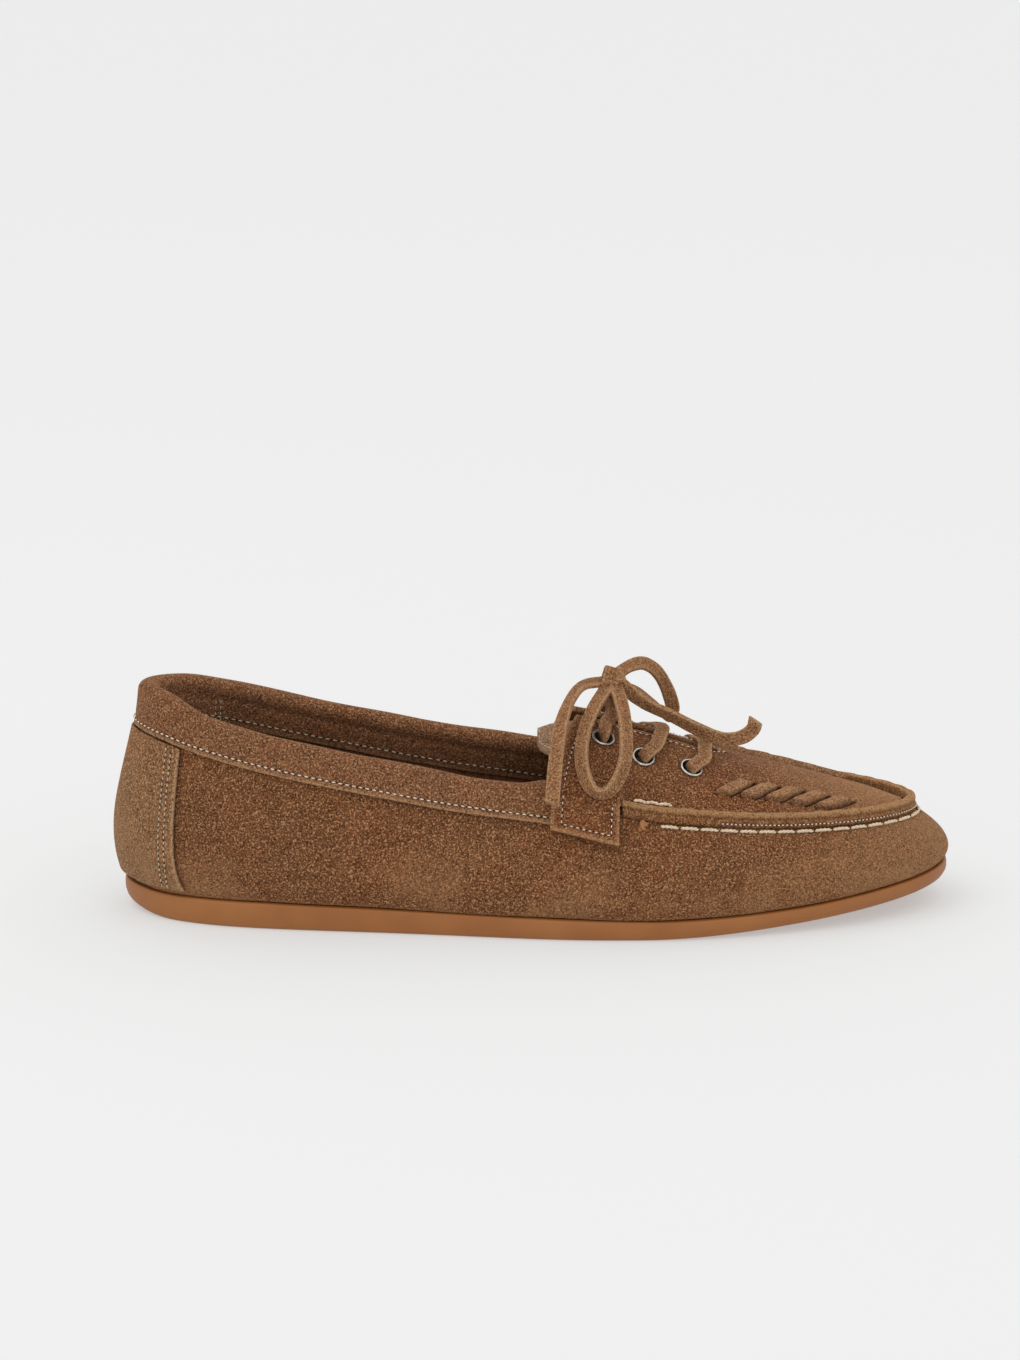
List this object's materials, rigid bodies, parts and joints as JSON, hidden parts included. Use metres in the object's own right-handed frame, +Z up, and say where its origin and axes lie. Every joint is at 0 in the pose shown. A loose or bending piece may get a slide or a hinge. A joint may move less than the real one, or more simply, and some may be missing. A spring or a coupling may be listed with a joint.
{
  "type": "moccasin",
  "caption": "Low slip-on suede moccasin for the right foot: sewn toe apron with a raised seam, three pairs of eyelets with a tied bow, a tongue and a thin rubber sole.",
  "frame": {"origin": "on the sole's flat underside, under the middle of the shoe's length", "axes": "+X towards the toe, +Y towards the inner side of the foot, +Z up"},
  "size_m": [0.2539, 0.0875, 0.0737],
  "materials": {
    "suede": "napped suede",
    "suede_lace": "napped suede",
    "lining_suede": "matte",
    "heel_lining": "matte",
    "gum_rubber": "satin",
    "insole_board": "matte",
    "cork_filler": "matte",
    "cream_thread": "matte",
    "eyelet_metal": "satin"
  },
  "bodies": {
    "shoe": {"outsole": "gum_rubber", "bottom_filler": "cork_filler", "insole_board": "insole_board", "sock_lining": "lining_suede", "side_wall": "suede", "heel_counter": "insole_board", "heel_panel": "suede", "quarter_lining_outer": "lining_suede", "quarter_lining_inner": "lining_suede", "vamp_lining": "lining_suede", "heel_lining": "heel_lining", "collar_band": "suede", "seam_rim": "suede", "seam_thread": "cream_thread", "apron": "suede", "eyelet_outer_1": "eyelet_metal", "eyelet_inner_1": "eyelet_metal", "eyelet_outer_2": "eyelet_metal", "eyelet_inner_2": "eyelet_metal", "eyelet_outer_3": "eyelet_metal", "eyelet_inner_3": "eyelet_metal", "woven_strip_outer": "suede_lace", "woven_strip_inner": "suede_lace", "lace_knot": "suede_lace", "lace_bar_middle": "suede_lace", "lace_bar_front": "suede_lace", "lace_riser_outer": "suede_lace", "lace_riser_inner": "suede_lace", "lace_loop_outer": "suede_lace", "lace_end_outer": "suede_lace", "lace_loop_inner": "suede_lace", "lace_end_front": "suede_lace"},
    "tongue": {"tongue": "suede"}
  },
  "joints": [
    {"name": "tongue_fold", "type": "hinge", "parent": "shoe", "child": "tongue", "pos_m": [0.0594, 0, 0.0445], "axis": [0, -1, 0], "range_deg": [0, 16]}
  ]
}
